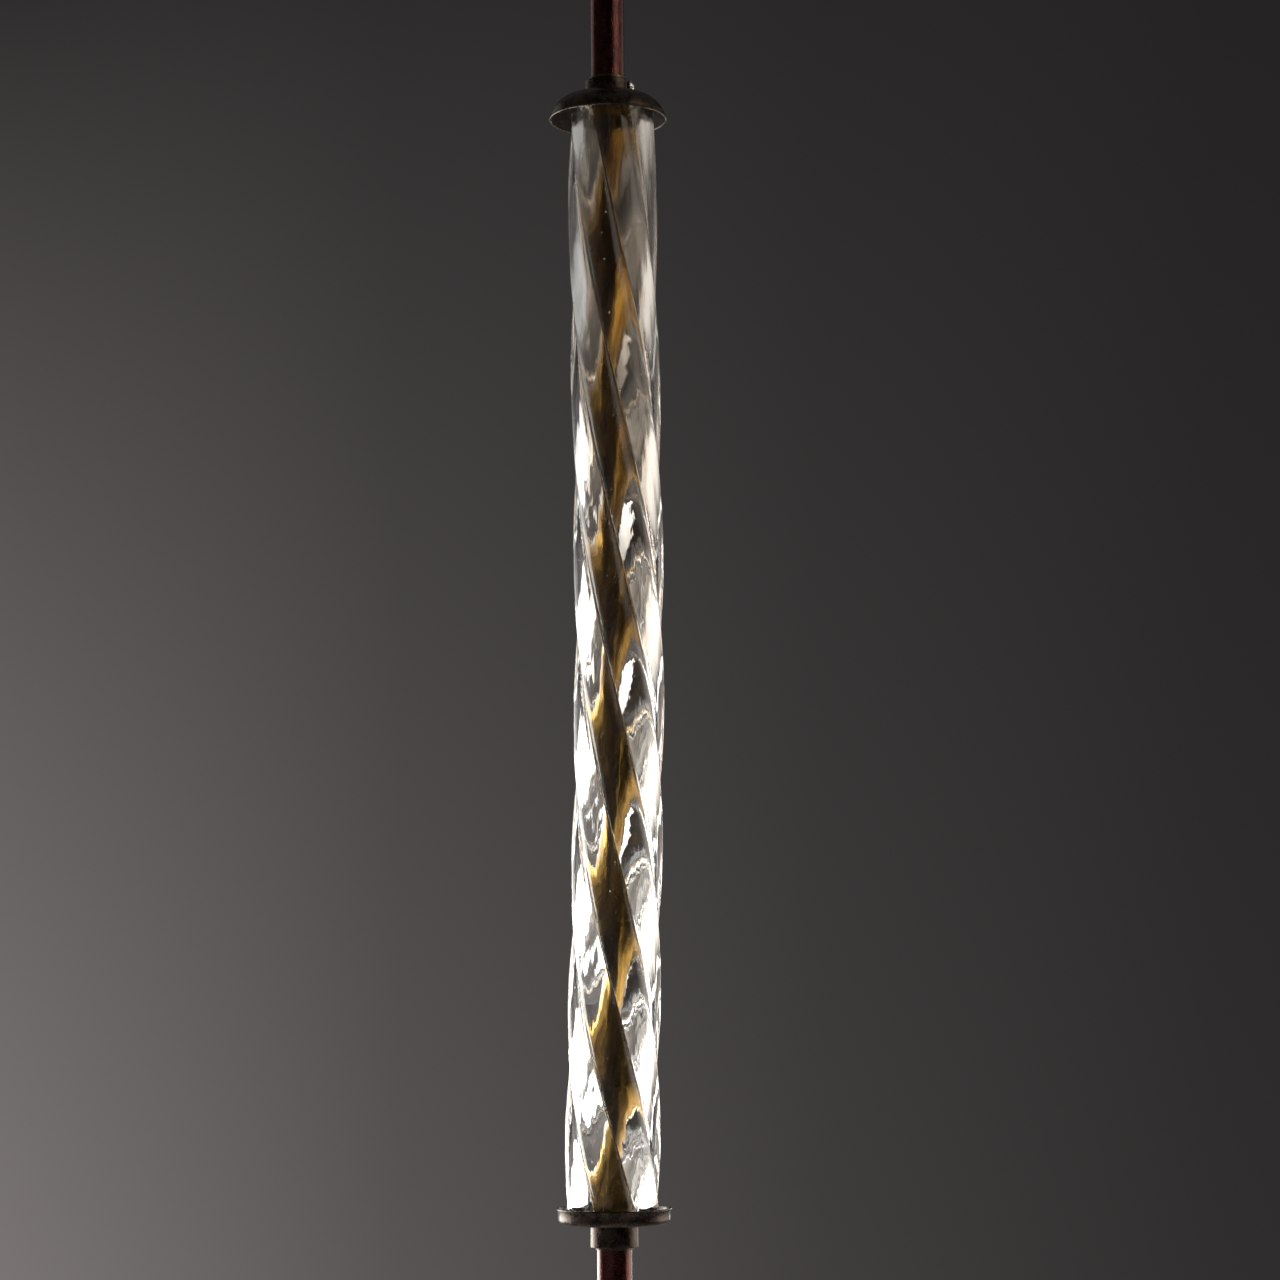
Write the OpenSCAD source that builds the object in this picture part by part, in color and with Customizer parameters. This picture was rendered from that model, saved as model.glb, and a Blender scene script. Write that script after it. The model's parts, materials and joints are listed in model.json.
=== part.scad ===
// Pole light: a ceiling-hung bronze pole with a twisted glass tube between a bell cap and a dish.
// Millimetres, +Z up. The origin is on the ceiling plane, at the centre of the mounting strap.

/* [Pole] */
// Outside diameter of the pole tube
pole_d = 25.4; // [24:0.1:26]
// Wall thickness of the pole tube
pole_wall = 1.5; // [1:0.1:2]
// Ceiling plane to the rim of the bell cap
drop = 300; // [260:5:600]
// Rim of the bell cap to the rim of the dish
glass_gap = 806; // [500:2:1000]
// Rim of the dish to the end of the lower stem
tail = 64; // [40:1:120]

/* [Glass] */
// Outside diameter over the lobes in the upper part
glass_d = 66.8; // [66:0.2:68]
// Extra radius at the flared lower end
flare = 1.8; // [0:0.1:2]
// Mean radius of the bore
bore_r = 26.2; // [26:0.1:26.6]
// Share of the lobes' height that the bore follows
bore_follow = 0.3; // [0:0.05:0.8]
// Number of lobes round the tube
lobes = 6; // [6:1:8]
// Distance of a lobe's own centre from the axis, as a share of the tube's radius
lobe_offset = 0.56; // [0.3:0.01:0.57]
// Twist at the upper rim, degrees per millimetre
twist_start = 0.411; // [0:0.001:0.6]
// Growth of the twist, degrees per square millimetre
twist_growth = 0.000143; // [0:0.000001:0.0003]
// Sideways bow of the hand-blown tube at mid length
bow = 4.9; // [0:0.1:5]

/* [Bell cap] */
// Diameter at the rim
bell_d = 88.2; // [87:0.2:92]
// Height from the rim to the crown
bell_h = 18.5; // [18:0.1:20]
// Sheet thickness of bell cap, dish and canopy
sheet = 1.5; // [1.2:0.1:1.8]
// Diameter of the sliding collar
collar_d = 34.4; // [34:0.1:40]
// Height of the sliding collar
collar_h = 11.6; // [11.4:0.1:14]
// Direction of the sliding collar's screw, degrees anticlockwise from +X
screw_turn = -13; // [-40:1:40]

/* [Dish] */
// Diameter of the wall
dish_d = 81.2; // [80:0.2:88]
// Depth outside
dish_h = 11.6; // [11.4:0.1:14]
// Diameter of the lower collar
lower_collar_d = 34.6; // [34:0.1:38]
// Height of the lower collar
lower_collar_h = 16.3; // [15:0.1:18]

/* [Light source] */
// Number of LED chips on the ring board
chip_count = 12; // [6:3:15]
// Radius of the ring of chips
chip_r = 17.6; // [17:0.1:18.2]

/* [Ceiling fitting] */
// Diameter of the canopy at the ceiling
canopy_d = 140; // [136:1:160]
// Depth of the canopy
canopy_h = 38; // [38:1:42]
// Diameter of the hole in the canopy that the pole swings in
canopy_hole_d = 40; // [38:1:44]
// Ceiling plane to the centre of the swivel
pivot_drop = 25; // [25:0.1:25.5]
// Spacing of the two slots for the ceiling box
box_spacing = 88.9; // [84:0.1:90]

/* [Hidden] */

$fn = 96;
eps = 0.01;
run_gap = 0.05;      // radial clearance of a running fit
seat_gap = 0.05;     // clearance between pieces that are screwed or pressed together

bronze = "#3b2a22";
bronze_red = "#4a2620";
brass = "#b08a3e";
steel = "#b9bcc0";
silicone = "#8f8f8c";
black = "#26262a";

pole_r = pole_d / 2;
pole_bore_r = pole_r - pole_wall;

// Levels along the axis
bell_z = -drop;                      // rim plane of the bell cap
dish_z = bell_z - glass_gap;         // rim plane of the dish
tail_z = dish_z - tail;              // end of the lower stem
pivot_z = -pivot_drop;

// Ceiling fitting
strap_t = 2;
strap_w = 24;
strap_l = 124;
strap_sink = 10;                     // how far the middle of the strap stands off the ceiling
strap_step_x = 24;                   // where the strap steps down
strap_under_z = -strap_sink - strap_t;
stud_x = 56;
stud_r = 2;
stud_l = 42.8;
cap_nut_r = 5.2;
ground_thread_r = 1.6;
ground_screw_xy = [16, -7];
shank_r = 5;
lead_bore_r = 2.6;
yoke_base_h = 3;
ear_in = 6.5;                        // inner face of a yoke's ear, from the axis
ear_t = 2.5;
ear_r = 4.5;
pin_r = 2;
block_half = 6.2;
plug_l = 12;
flange_h = 2;
stem_top_z = pivot_z - 10;
lead_r = 1.2;
lead_bend = 2.6;
lead_top_z = -2.8;
driver_size = [60, 22, 17];
driver_y = 31;
pad_h = 1;
connector_y = -42;
connector_l = 20;
connector_gap = 16;
canopy_corner = 8;
canopy_floor_z = -canopy_h + sheet;

// Bell cap and the seat it makes for the glass
bell_curve = 21;                     // radius of the dome's section, which the rim plane cuts
glass_top_z = bell_z + 10;
cap_gasket_h = 3;
plate_h = 1.5;
plate_r = 31.5;
crown_z = bell_z + bell_h;
top_screw_z = crown_z + 7;
thread_r = 1.5;
head_r = 4.2;
head_rim = 1;
head_dome = 2.2;
bush_t = 1.6;
bush_proud = 2.4;                    // how far the upper bush stands above its collar
lower_proud = 1.6;                   // and the lower one below its collar
slide_gap = 0.3;                     // clearance of the plates that don't guide

// Dish and light source
dish_corner = 5;
dish_floor_z = dish_z - dish_h + sheet;
spreader_h = 2.5;
spreader_r = 35.4;
glass_gasket_h = 1.5;
board_z = dish_floor_z + spreader_h;
glass_bottom_z = board_z + glass_gasket_h;
board_h = 1.2;
board_in = 13.6;
board_out = 21.2;
chip_w = 3;
chip_h = 0.7;
cover_h = 4.6;
cable_out_z = board_z + board_h + lead_r + 0.1;
lower_bush_t = 0.8;
lower_screw_turn = 90;               // the lower collar's screw is at the back
lower_collar_z = dish_z - dish_h - lower_collar_h;
lower_screw_z = lower_collar_z + 5;
upper_join_z = bell_z + 8;
lower_join_z = dish_z - 18.5;
coupling_l = 22;

// Twisted tube
lean_top = 3.2;                      // offset of the tube's axis at the upper rim
lean_bottom = -1.3;                  // and at the lower rim
first_groove = -119.7;               // direction of a groove at the upper rim, degrees
flare_start = 0.695 * glass_gap;     // distance below the upper rim where the flare begins
around = 48;
outer_rings = 56;
bore_rings = 30;

// ---- Shared shapes ----

// A tube standing on z, with the Z axis as its own
module ring(outer, inner, z, h) {
    translate([0, 0, z])
        difference() {
            cylinder(r = outer, h = h);
            translate([0, 0, -1])
                cylinder(r = inner, h = h + 2);
        }
}

// A hexagon across flats, standing on z
module hexagon(flats, z, h) {
    translate([0, 0, z])
        cylinder(r = flats / 2 / cos(30), h = h, $fn = 6);
}

// A cylinder from the origin out along X, between two distances from the axis
module spoke(r, from, to) {
    translate([from, 0, 0])
        rotate([0, 90, 0])
            cylinder(r = r, h = to - from, $fn = 48);
}

// Half a section of a bowl that opens upwards, with its rim at zero
module bowl_section(rim_r, depth, corner, hole_r) {
    difference() {
        bowl_outline(rim_r, depth, corner, hole_r);
        translate([0, eps])
            bowl_outline(rim_r - sheet, depth - sheet + eps, corner - sheet, hole_r - 1);
    }
}

// Half a section of the solid that such a bowl would fill
module bowl_outline(rim_r, depth, corner, hole_r) {
    flat_r = rim_r - corner;
    translate([hole_r, -depth])
        square([flat_r - hole_r, depth]);
    translate([flat_r - eps, corner - depth])
        square([corner + eps, depth - corner]);
    intersection() {
        translate([flat_r, corner - depth])
            circle(r = corner, $fn = 128);
        translate([flat_r - eps, -depth])
            square([corner + eps, corner + eps]);
    }
}

// ---- Ceiling fitting ----

// A round-ended slot along X, through the strap
module box_slot() {
    slot_l = 14;
    slot_r = 2.4;
    cube([slot_l - 2 * slot_r, 2 * slot_r, 3 * strap_t], center = true);
    for (end = [-1, 1])
        translate([end * (slot_l / 2 - slot_r), 0, 0])
            cylinder(r = slot_r, h = 3 * strap_t, center = true);
}

// A flat bar whose middle stands off the ceiling, to leave room for the locknut
module mounting_strap() {
    end_l = strap_l / 2 - strap_step_x;
    color(steel)
        difference() {
            union() {
                for (side = [-1, 1]) {
                    translate([side * (strap_step_x + end_l / 2), 0, -strap_t / 2])
                        cube([end_l, strap_w, strap_t], center = true);
                    translate([side * (strap_step_x + strap_t / 2), 0, strap_under_z / 2])
                        cube([strap_t, strap_w, -strap_under_z], center = true);
                }
                translate([0, 0, strap_under_z + strap_t / 2])
                    cube([2 * strap_step_x + strap_t, strap_w, strap_t], center = true);
            }
            translate([0, 0, strap_under_z - strap_t])
                cylinder(r = shank_r + 0.2, h = 3 * strap_t);
            for (side = [-1, 1]) {
                translate([side * box_spacing / 2, 0, -strap_t / 2])
                    box_slot();
                translate([side * stud_x, 0, -2 * strap_t])
                    cylinder(r = stud_r, h = 3 * strap_t);
            }
            translate([ground_screw_xy.x, ground_screw_xy.y, strap_under_z - strap_t])
                cylinder(r = ground_thread_r, h = 3 * strap_t);
        }
}

module canopy_studs() {
    color(steel)
        for (side = [-1, 1])
            translate([side * stud_x, 0, -stud_l])
                cylinder(r = stud_r - seat_gap, h = stud_l - 0.2);
}

// A spun bowl with a hole for the swinging pole and two holes for the studs
module canopy() {
    color(bronze)
        difference() {
            rotate_extrude($fn = 128)
                bowl_section(canopy_d / 2, canopy_h, canopy_corner, canopy_hole_d / 2);
            for (side = [-1, 1])
                translate([side * stud_x, 0, -canopy_h - 1])
                    cylinder(r = stud_r + 0.3, h = canopy_h + 2);
        }
}

// Round cap nuts with a domed end, one on each stud
module canopy_cap_nuts() {
    skirt_h = 4;
    color(brass)
        for (side = [-1, 1])
            translate([side * stud_x, 0, -canopy_h])
                difference() {
                    union() {
                        translate([0, 0, -skirt_h])
                            cylinder(r = cap_nut_r, h = skirt_h);
                        translate([0, 0, -skirt_h])
                            intersection() {
                                sphere(r = cap_nut_r, $fn = 64);
                                translate([0, 0, -cap_nut_r])
                                    cylinder(r = 2 * cap_nut_r, h = cap_nut_r);
                            }
                    }
                    translate([0, 0, -stud_l + canopy_h - 0.5])
                        cylinder(r = stud_r, h = stud_l);
                }
}

// Hex washer-head screw for the earth wire, under the strap
module ground_screw() {
    color("#3f8a4c")
        translate([ground_screw_xy.x, ground_screw_xy.y, strap_under_z]) {
            translate([0, 0, -0.8])
                cylinder(r = 4, h = 0.8);
            hexagon(5.5, -3.2, 2.4);
            cylinder(r = ground_thread_r - seat_gap, h = strap_t + 1.5);
        }
}

// Constant-current driver for the LED ring, lying on the canopy's floor
module led_driver() {
    foot_l = 5;
    base_z = canopy_floor_z + pad_h;
    color("#e6e4dc")
        difference() {
            union() {
                translate([-driver_size.x / 2, driver_y - driver_size.y / 2, base_z])
                    cube(driver_size);
                translate([-driver_size.x / 2 - foot_l, driver_y - driver_size.y / 2, base_z])
                    cube([driver_size.x + 2 * foot_l, driver_size.y, 2]);
            }
            for (side = [-1, 1])
                translate([side * (driver_size.x + foot_l) / 2, driver_y, base_z - 1])
                    cylinder(r = 1.6, h = 4, $fn = 32);
            translate([0, driver_y, base_z + driver_size.z - 4])
                cylinder(r = lead_r + seat_gap, h = 5, $fn = 32);
        }
}

module driver_pad() {
    color(black)
        translate([-24, driver_y - 8, canopy_floor_z])
            cube([48, 16, pad_h]);
}

// Twist-on connectors for the house wires, lying on the canopy's floor
module wire_connectors() {
    wide = 5.5;
    narrow = 4;
    color("#b5532a")
        for (i = [-1:1])
            translate([i * connector_gap, connector_y, canopy_floor_z + wide])
                rotate([-90, 0, 0])
                    difference() {
                        cylinder(r1 = narrow, r2 = wide, h = connector_l, $fn = 48);
                        translate([0, 0, 6])
                            cylinder(r = lead_bore_r, h = connector_l, $fn = 48);
                    }
}

// A quarter bend that turns from +Z into +Y, starting at the origin
module quarter_bend(r, bend) {
    translate([0, bend, 0])
        rotate([0, 0, 180])
            rotate([90, 0, 90])
                rotate_extrude(angle = 90, $fn = 64)
                    translate([bend, 0])
                        circle(r = r, $fn = 32);
}

// The low-voltage lead: out of the swivel's shank, over the strap and down into the driver
module driver_lead() {
    rise = lead_top_z - lead_bend - (pivot_z + 8);
    drop_z = canopy_floor_z + pad_h + driver_size.z - 3;
    color("#d8d4c8") {
        translate([0, 0, pivot_z + 8])
            cylinder(r = lead_r, h = rise, $fn = 32);
        translate([0, 0, lead_top_z - lead_bend])
            quarter_bend(lead_r, lead_bend);
        translate([0, lead_bend, lead_top_z])
            rotate([-90, 0, 0])
                cylinder(r = lead_r, h = driver_y - 2 * lead_bend, $fn = 32);
        translate([0, driver_y, lead_top_z - lead_bend])
            mirror([0, 1, 0])
                quarter_bend(lead_r, lead_bend);
        translate([0, driver_y, drop_z])
            cylinder(r = lead_r, h = lead_top_z - lead_bend - drop_z, $fn = 32);
    }
}

// ---- Hang-straight swivel ----

// Two ears on either side of the axis, each with a bore along X for a pin
module yoke_ears(reach) {
    for (side = [0, 180])
        rotate([0, 0, side])
            difference() {
                union() {
                    spoke(ear_r, ear_in, ear_in + ear_t);
                    translate([ear_in, -ear_r, min(0, reach)])
                        cube([ear_t, 2 * ear_r, abs(reach)]);
                }
                spoke(pin_r + run_gap, ear_in - 1, ear_in + ear_t + 1);
            }
}

module swivel_upper_yoke() {
    color(brass)
        difference() {
            union() {
                translate([0, 0, strap_under_z - yoke_base_h])
                    cylinder(r = 10, h = yoke_base_h);
                translate([0, 0, strap_under_z - eps])
                    cylinder(r = shank_r, h = strap_sink + strap_t - 5.4);
                translate([0, 0, pivot_z])
                    yoke_ears(strap_under_z - yoke_base_h - pivot_z + eps);
            }
            translate([0, 0, pivot_z - ear_r - 1])
                cylinder(r = lead_bore_r, h = -pivot_z + ear_r + 2, $fn = 48);
        }
}

module swivel_locknut() {
    color(steel)
        difference() {
            hexagon(15, -strap_sink, 4);
            translate([0, 0, -strap_sink - 1])
                cylinder(r = shank_r + seat_gap, h = 6);
        }
}

// The block in the middle of the swivel, with a lead hole and four pin holes
module swivel_block() {
    color(brass)
        translate([0, 0, pivot_z])
            difference() {
                cube([2 * block_half, 2 * block_half, 9], center = true);
                cylinder(r = lead_bore_r, h = 12, center = true, $fn = 48);
                for (a = [0:90:270])
                    rotate([0, 0, a])
                        spoke(pin_r, lead_bore_r + 0.6, block_half + 1);
            }
}

// Four headed pins, held in the block, that the yokes' ears turn on
module swivel_pins() {
    color(steel)
        translate([0, 0, pivot_z])
            for (a = [0:90:270])
                rotate([0, 0, a]) {
                    spoke(pin_r, lead_bore_r + 0.8, ear_in + ear_t + 0.3);
                    spoke(3.2, ear_in + ear_t + 0.2, ear_in + ear_t + 1.2);
                }
}

module swivel_lower_yoke() {
    color(brass)
        difference() {
            union() {
                translate([0, 0, stem_top_z])
                    cylinder(r = pole_r, h = flange_h);
                translate([0, 0, stem_top_z - plug_l])
                    cylinder(r = pole_bore_r - seat_gap, h = plug_l + eps);
                translate([0, 0, pivot_z])
                    rotate([0, 0, 90])
                        yoke_ears(stem_top_z + flange_h - pivot_z - eps);
            }
            translate([0, 0, stem_top_z - plug_l - 1])
                cylinder(r = lead_bore_r, h = plug_l + 20, $fn = 48);
        }
}

// ---- Pole ----

module upper_stem() {
    color(bronze_red)
        ring(pole_r, pole_bore_r, upper_join_z, stem_top_z - upper_join_z);
}

// A threaded sleeve inside two tubes that meet at z
module coupling(z) {
    color(brass)
        ring(pole_bore_r - seat_gap, 8.5, z - coupling_l / 2, coupling_l);
}

module upper_coupling() {
    coupling(upper_join_z);
}

module lower_coupling() {
    coupling(lower_join_z);
}

// The bright tube inside the glass, with a hole at the back for the supply cable
module core_tube() {
    color(brass)
        difference() {
            ring(pole_r, pole_bore_r, lower_join_z, upper_join_z - lower_join_z);
            translate([0, 0, cable_out_z])
                rotate([0, 0, 90])
                    spoke(lead_r + 0.4, pole_bore_r - 3, pole_r + 1);
        }
}

module lower_stem() {
    color(bronze_red)
        ring(pole_r, pole_bore_r, tail_z, lower_join_z - tail_z);
}

// A turned ball on a short neck, with a plug that goes into the stem
module finial() {
    ball_r = 15;
    neck_r = 8;
    disc_h = 3;
    ball_z = tail_z - disc_h - 3 - sqrt(pow(ball_r, 2) - pow(neck_r, 2));
    color(bronze)
        union() {
            translate([0, 0, tail_z - eps])
                cylinder(r = pole_bore_r - seat_gap, h = plug_l);
            translate([0, 0, tail_z - disc_h])
                cylinder(r = pole_r + 1.6, h = disc_h);
            translate([0, 0, ball_z])
                cylinder(r = neck_r, h = tail_z - disc_h - ball_z + eps);
            translate([0, 0, ball_z])
                sphere(r = ball_r);
        }
}

// Two-core cable down the middle of the pole, out through the core tube to the LED board
module supply_cable() {
    top_z = pivot_z + 6;
    color("#d8d4c8") {
        translate([0, 0, cable_out_z + lead_bend])
            cylinder(r = lead_r, h = top_z - cable_out_z - lead_bend, $fn = 32);
        translate([0, 0, cable_out_z + lead_bend])
            mirror([0, 0, 1])
                quarter_bend(lead_r, lead_bend);
        translate([0, lead_bend, cable_out_z])
            rotate([-90, 0, 0])
                cylinder(r = lead_r, h = board_in + 2 - lead_bend, $fn = 32);
    }
}

// ---- Glass ----

// Offset of the tube's axis at s below the upper rim: a lean and a bow
function axis_x(s) =
    let (t = s / glass_gap)
    lean_top + (lean_bottom - lean_top) * t + bow * pow(sin(180 * t), 2);

// Radius over the lobes
function tube_r(s) =
    glass_d / 2 + flare * pow(max(0, (s - flare_start) / (glass_gap - flare_start)), 1.5);

// Direction of one groove
function groove_turn(s) = first_groove + twist_start * s + twist_growth * s * s;

// Share of the radius reached at an angle from the middle of a lobe, which is a round arc
function lobe_share(a) =
    lobe_offset * cos(a) + sqrt(pow(1 - lobe_offset, 2) - pow(lobe_offset * sin(a), 2));

// Angle from the middle of its lobe of the j-th point of a ring
function in_lobe(j) = (360 * j / around) % (360 / lobes) - 180 / lobes;

function ring_point(s, j, r) =
    let (turn = groove_turn(s) + 360 * j / around)
    [axis_x(s) + r * cos(turn), r * sin(turn), bell_z - s];

function outer_point(s, j) = ring_point(s, j, tube_r(s) * lobe_share(in_lobe(j)));

// The bore follows the lobes more softly, about its mean radius
function bore_point(s, j) =
    let (mean_share = (1 + lobe_share(180 / lobes)) / 2)
    ring_point(s, j, bore_r * (1 + bore_follow * (lobe_share(in_lobe(j)) - mean_share)));

// The points of a stack of rings start at `first`, and each quad turns outwards or inwards
function wall_faces(first, rings, outwards) = [
    for (i = [0:rings - 1], j = [0:around - 1])
        let (
            k = (j + 1) % around,
            a = first + i * around + j,
            b = first + i * around + k,
            c = first + (i + 1) * around + k,
            d = first + (i + 1) * around + j
        )
        each outwards ? [[a, b, c], [a, c, d]] : [[a, c, b], [a, d, c]]
];

// The flat end between an outer ring and a bore ring
function end_faces(outer, inner, upwards) = [
    for (j = [0:around - 1])
        let (
            k = (j + 1) % around,
            a = outer + j,
            b = inner + j,
            c = inner + k,
            d = outer + k
        )
        each upwards ? [[a, b, c], [a, c, d]] : [[a, c, b], [a, d, c]]
];

module glass_tube() {
    s_top = bell_z - glass_top_z;
    length = glass_top_z - glass_bottom_z;
    bore_first = (outer_rings + 1) * around;
    outer_points = [
        for (i = [0:outer_rings], j = [0:around - 1])
            outer_point(s_top + length * i / outer_rings, j)
    ];
    bore_points = [
        for (i = [0:bore_rings], j = [0:around - 1])
            bore_point(s_top + length * i / bore_rings, j)
    ];
    color([0.8, 0.85, 0.86, 0.5])
        polyhedron(
            points = concat(outer_points, bore_points),
            faces = concat(
                wall_faces(0, outer_rings, true),
                wall_faces(bore_first, bore_rings, false),
                end_faces(0, bore_first, true),
                end_faces(outer_rings * around, bore_first + bore_rings * around, false)
            )
        );
}

// Soft ring under the glass
module glass_gasket() {
    color(silicone)
        ring(spreader_r, board_out + 1.4, board_z, glass_gasket_h);
}

// ---- Dish and light source ----

// A spun dish with a small lip round its rim
module bottom_dish() {
    lip_h = 2;
    color(bronze)
        translate([0, 0, dish_z])
            rotate_extrude($fn = 128) {
                bowl_section(dish_d / 2, dish_h, dish_corner, pole_r + slide_gap);
                translate([dish_d / 2 - sheet / 2, -lip_h])
                    square([sheet / 2 + 0.9, lip_h]);
            }
}

module heat_spreader() {
    color("#c9ccd0")
        ring(spreader_r, pole_r + slide_gap, dish_floor_z, spreader_h);
}

// Places its children at each of count places on a circle, starting at an angle
module round_the_ring(count, r, start = 0) {
    for (i = [0:count - 1])
        rotate([0, 0, start + 360 * i / count])
            translate([r, 0, 0])
                children();
}

module led_board() {
    color("#f2f2ee")
        difference() {
            ring(board_out, board_in, board_z, board_h);
            round_the_ring(3, chip_r, 180 / chip_count)
                translate([0, 0, board_z - 1])
                    cylinder(r = 0.9, h = 4, $fn = 32);
        }
}

module led_chips() {
    color("#f4df8a")
        round_the_ring(chip_count, chip_r)
            translate([-chip_w / 2, -chip_w / 2, board_z + board_h])
                cube([chip_w, chip_w, chip_h]);
}

module led_board_screws() {
    color(steel)
        round_the_ring(3, chip_r, 180 / chip_count)
            translate([0, 0, board_z + eps]) {
                cylinder(r = 0.85, h = board_h, $fn = 32);
                translate([0, 0, board_h - eps])
                    cylinder(r = 1.7, h = 1, $fn = 32);
            }
}

// A frosted ring over the chips, with a skirt outside the board
module led_cover() {
    wall = 0.8;
    color([0.95, 0.95, 0.92, 0.6])
        difference() {
            ring(board_out + wall, board_in - 0.5, board_z, cover_h);
            translate([0, 0, board_z - 1])
                cylinder(r = board_out + seat_gap, h = cover_h - wall + 1);
        }
}

module lower_collar() {
    color(bronze)
        difference() {
            ring(
                lower_collar_d / 2, pole_r + lower_bush_t + seat_gap,
                lower_collar_z, lower_collar_h
            );
            screw_bore(lower_screw_z, lower_screw_turn);
        }
}

// Thin sleeve between the lower collar and the pole, a little proud below
module lower_collar_bush() {
    color(bronze)
        difference() {
            ring(
                pole_r + lower_bush_t, pole_r + seat_gap,
                lower_collar_z - lower_proud, lower_collar_h + lower_proud
            );
            screw_bore(lower_screw_z, lower_screw_turn);
        }
}

module lower_collar_screw() {
    color(bronze)
        collar_screw(lower_screw_z, lower_screw_turn, lower_collar_d / 2);
}

// The hole that a collar's screw goes through, at a height and a direction
module screw_bore(z, turn) {
    translate([0, 0, z])
        rotate([0, 0, turn])
            spoke(thread_r + run_gap, pole_r - 1, collar_d);
}

// Half a section of a thumb screw: a shank, a thin rim and a dome
module collar_screw_section(head_in) {
    dome_in = head_in + head_rim;
    dome_base_r = head_r - 0.3;
    dome_curve = (pow(dome_base_r, 2) + pow(head_dome, 2)) / (2 * head_dome);
    translate([0, pole_r + 0.1])
        square([thread_r, dome_in - pole_r - 0.1]);
    translate([0, head_in])
        square([head_r, head_rim]);
    intersection() {
        translate([0, dome_in + head_dome - dome_curve])
            circle(r = dome_curve, $fn = 96);
        translate([0, dome_in - eps])
            square([head_r, head_dome + 1]);
    }
}

// A thumb screw with a slotted, domed head that stands just off its collar
module collar_screw(z, turn, collar_r) {
    head_in = collar_r + 0.3;
    translate([0, 0, z])
        rotate([0, 0, turn])
            difference() {
                rotate([0, 90, 0])
                    rotate_extrude()
                        collar_screw_section(head_in);
                translate([head_in + head_rim + head_dome, 0, 0])
                    rotate([45, 0, 0])
                        cube([2.4, 2 * head_r + 1, 0.8], center = true);
            }
}

// ---- Sliding cap ----

// Half a section of the solid under a dome of a given radius, above the rim plane
module dome_outline(curve, top, hole_r) {
    flat_r = bell_d / 2 - sqrt(pow(bell_curve, 2) - pow(bell_curve - bell_h, 2));
    translate([hole_r, 0])
        square([flat_r - hole_r, top]);
    intersection() {
        translate([flat_r, top - curve])
            circle(r = curve, $fn = 128);
        translate([flat_r - eps, 0])
            square([curve + eps, top]);
    }
}

// A spun bell, open downwards, that covers the upper end of the glass
module bell_cap() {
    color(bronze)
        translate([0, 0, bell_z])
            rotate_extrude($fn = 128)
                difference() {
                    dome_outline(bell_curve, bell_h, pole_r + slide_gap);
                    translate([0, -eps])
                        dome_outline(bell_curve - sheet, bell_h - sheet + eps, pole_r - 1);
                }
}

// A disc with a hub that hands the bell's weight to the gasket on the glass
module pressure_plate() {
    plate_z = glass_top_z + cap_gasket_h;
    color(steel) {
        ring(plate_r, pole_r + slide_gap, plate_z, plate_h);
        ring(17, pole_r + slide_gap, plate_z, crown_z - sheet - plate_z);
    }
}

module cap_gasket() {
    color(silicone)
        translate([lean_top, 0, 0])
            ring(29.5, bore_r, glass_top_z, cap_gasket_h);
}

module top_collar() {
    color(bronze)
        difference() {
            ring(collar_d / 2, pole_r + bush_t + seat_gap, crown_z, collar_h);
            screw_bore(top_screw_z, screw_turn);
        }
}

// Bright sleeve that guides the collar on the pole, a little proud above
module top_collar_bush() {
    color(brass)
        difference() {
            ring(
                pole_r + bush_t, pole_r + run_gap,
                crown_z, collar_h + bush_proud
            );
            screw_bore(top_screw_z, screw_turn);
        }
}

// Polished screw that locks the sliding collar on the pole
module top_collar_screw() {
    color("#d7d3c8")
        collar_screw(top_screw_z, screw_turn, collar_d / 2);
}

mounting_strap();
canopy_studs();
canopy();
canopy_cap_nuts();
ground_screw();
led_driver();
driver_pad();
wire_connectors();
driver_lead();
swivel_upper_yoke();
swivel_locknut();
swivel_block();
swivel_pins();
swivel_lower_yoke();
upper_stem();
upper_coupling();
core_tube();
lower_coupling();
lower_stem();
finial();
supply_cable();
glass_tube();
glass_gasket();
bottom_dish();
heat_spreader();
led_board();
led_chips();
led_board_screws();
led_cover();
lower_collar();
lower_collar_bush();
lower_collar_screw();
bell_cap();
pressure_plate();
cap_gasket();
top_collar();
top_collar_bush();
top_collar_screw();
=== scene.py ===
import json
import math
import random

import bmesh
import bpy
import numpy as np
from mathutils import Matrix, Vector


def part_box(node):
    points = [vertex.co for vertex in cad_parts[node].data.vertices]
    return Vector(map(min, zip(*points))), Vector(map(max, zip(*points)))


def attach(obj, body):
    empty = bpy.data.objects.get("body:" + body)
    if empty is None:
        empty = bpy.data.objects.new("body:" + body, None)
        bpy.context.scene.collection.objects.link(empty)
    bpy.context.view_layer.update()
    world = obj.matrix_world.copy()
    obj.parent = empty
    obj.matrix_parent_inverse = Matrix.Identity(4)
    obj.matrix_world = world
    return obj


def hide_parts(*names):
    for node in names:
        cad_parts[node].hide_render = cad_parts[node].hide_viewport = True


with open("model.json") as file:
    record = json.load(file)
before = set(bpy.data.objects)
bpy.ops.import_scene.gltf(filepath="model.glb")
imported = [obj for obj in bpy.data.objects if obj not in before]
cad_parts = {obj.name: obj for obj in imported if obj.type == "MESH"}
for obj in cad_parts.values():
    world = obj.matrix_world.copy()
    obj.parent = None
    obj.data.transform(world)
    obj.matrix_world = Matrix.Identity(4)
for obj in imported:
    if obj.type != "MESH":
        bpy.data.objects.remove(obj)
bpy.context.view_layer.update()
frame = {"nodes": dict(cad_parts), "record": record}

MM = 0.001


def box_radius(node):
    """Radius of a round node, from its box."""
    low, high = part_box(node)
    return (high.x - low.x) / 2


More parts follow.
